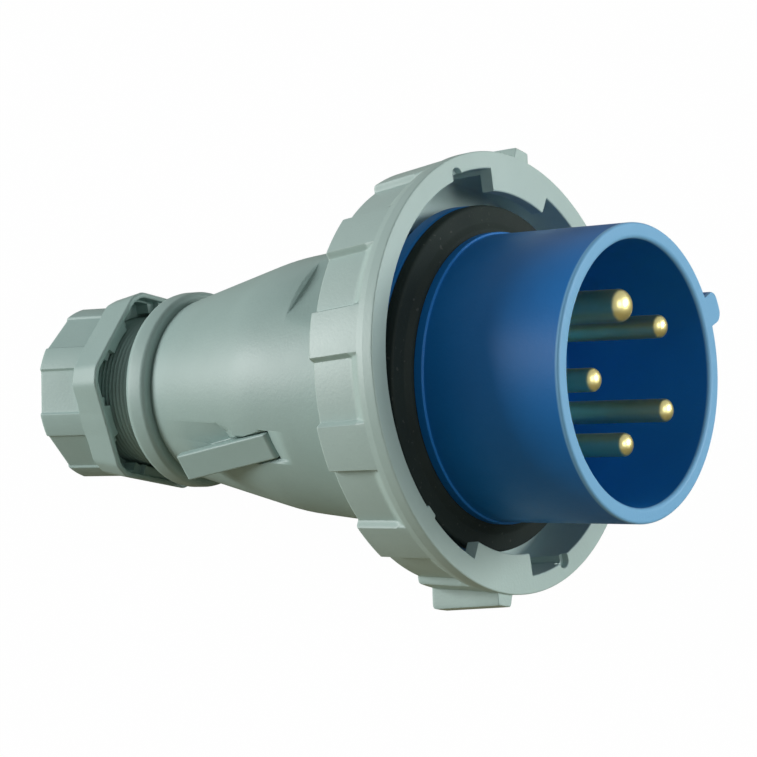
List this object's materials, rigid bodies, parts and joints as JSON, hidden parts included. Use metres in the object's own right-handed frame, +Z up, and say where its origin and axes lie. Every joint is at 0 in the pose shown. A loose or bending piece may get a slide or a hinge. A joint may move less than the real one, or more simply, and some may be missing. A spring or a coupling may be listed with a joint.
{
  "type": "industrial pin and sleeve plug",
  "caption": "Round industrial power plug with a keyed sleeve round domed pins, a bayonet locking ring, a tapered body and a screwed cable gland.",
  "frame": {"origin": "point on the surface that the plug lies on, under the centre of its bounding box", "axes": "+Z up; +X towards the mating end, which is raised by about 14 degrees; +Y to the left of that"},
  "size_m": [0.161, 0.0958, 0.0943],
  "materials": {
    "blue_plastic": "satin moulded",
    "holder_plastic": "satin moulded",
    "grey_plastic": "satin moulded",
    "ring_plastic": "satin moulded",
    "black_rubber": "matt",
    "brass": "turned, bright",
    "plated_steel": "zinc plated"
  },
  "bodies": {
    "plug_body": {"contact_insert": "blue_plastic", "contact_holder": "holder_plastic", "earth_pin": "brass", "line_pin_1": "brass", "line_pin_2": "brass", "line_pin_3": "brass", "neutral_pin": "brass", "pin_seal_rings": "black_rubber", "earth_terminal_screw": "plated_steel", "terminal_screws": "plated_steel", "holder_screws": "plated_steel", "flange_gasket": "black_rubber", "rear_housing": "grey_plastic", "housing_seal": "black_rubber", "lever_pin": "plated_steel", "clamp_cage": "grey_plastic", "cable_seal": "black_rubber"},
    "locking_ring": {"locking_ring": "ring_plastic"},
    "latch_lever": {"latch_lever": "grey_plastic"},
    "thrust_ring": {"thrust_ring": "grey_plastic"},
    "gland_nut": {"gland_nut": "grey_plastic"}
  },
  "joints": [
    {"name": "ring_turn", "type": "hinge", "parent": "plug_body", "child": "locking_ring", "pos_m": [0.0272, -0.00027, 0.04462], "axis": [0.9562, 0.0208, 0.2921], "range_deg": [0, 60]},
    {"name": "lever_lift", "type": "hinge", "parent": "plug_body", "child": "latch_lever", "pos_m": [-0.00678, -0.02731, 0.03852], "axis": [-0.4238, 0.1231, 0.8974], "range_deg": [0, 18]},
    {"name": "thrust_slide", "type": "slide", "parent": "plug_body", "child": "thrust_ring", "axis": [0.9727, 0, 0.2319], "range_m": [0, 0.003]},
    {"name": "nut_turn", "type": "hinge", "parent": "thrust_ring", "child": "gland_nut", "pos_m": [-0.07259, -0.00063, 0.02056], "axis": [0.9727, 0, 0.2319], "range_deg": [0, 360]}
  ],
  "couplings": [
    {"joint": "thrust_slide", "follows": "nut_turn", "m_per_rad": 0.00047746}
  ]
}
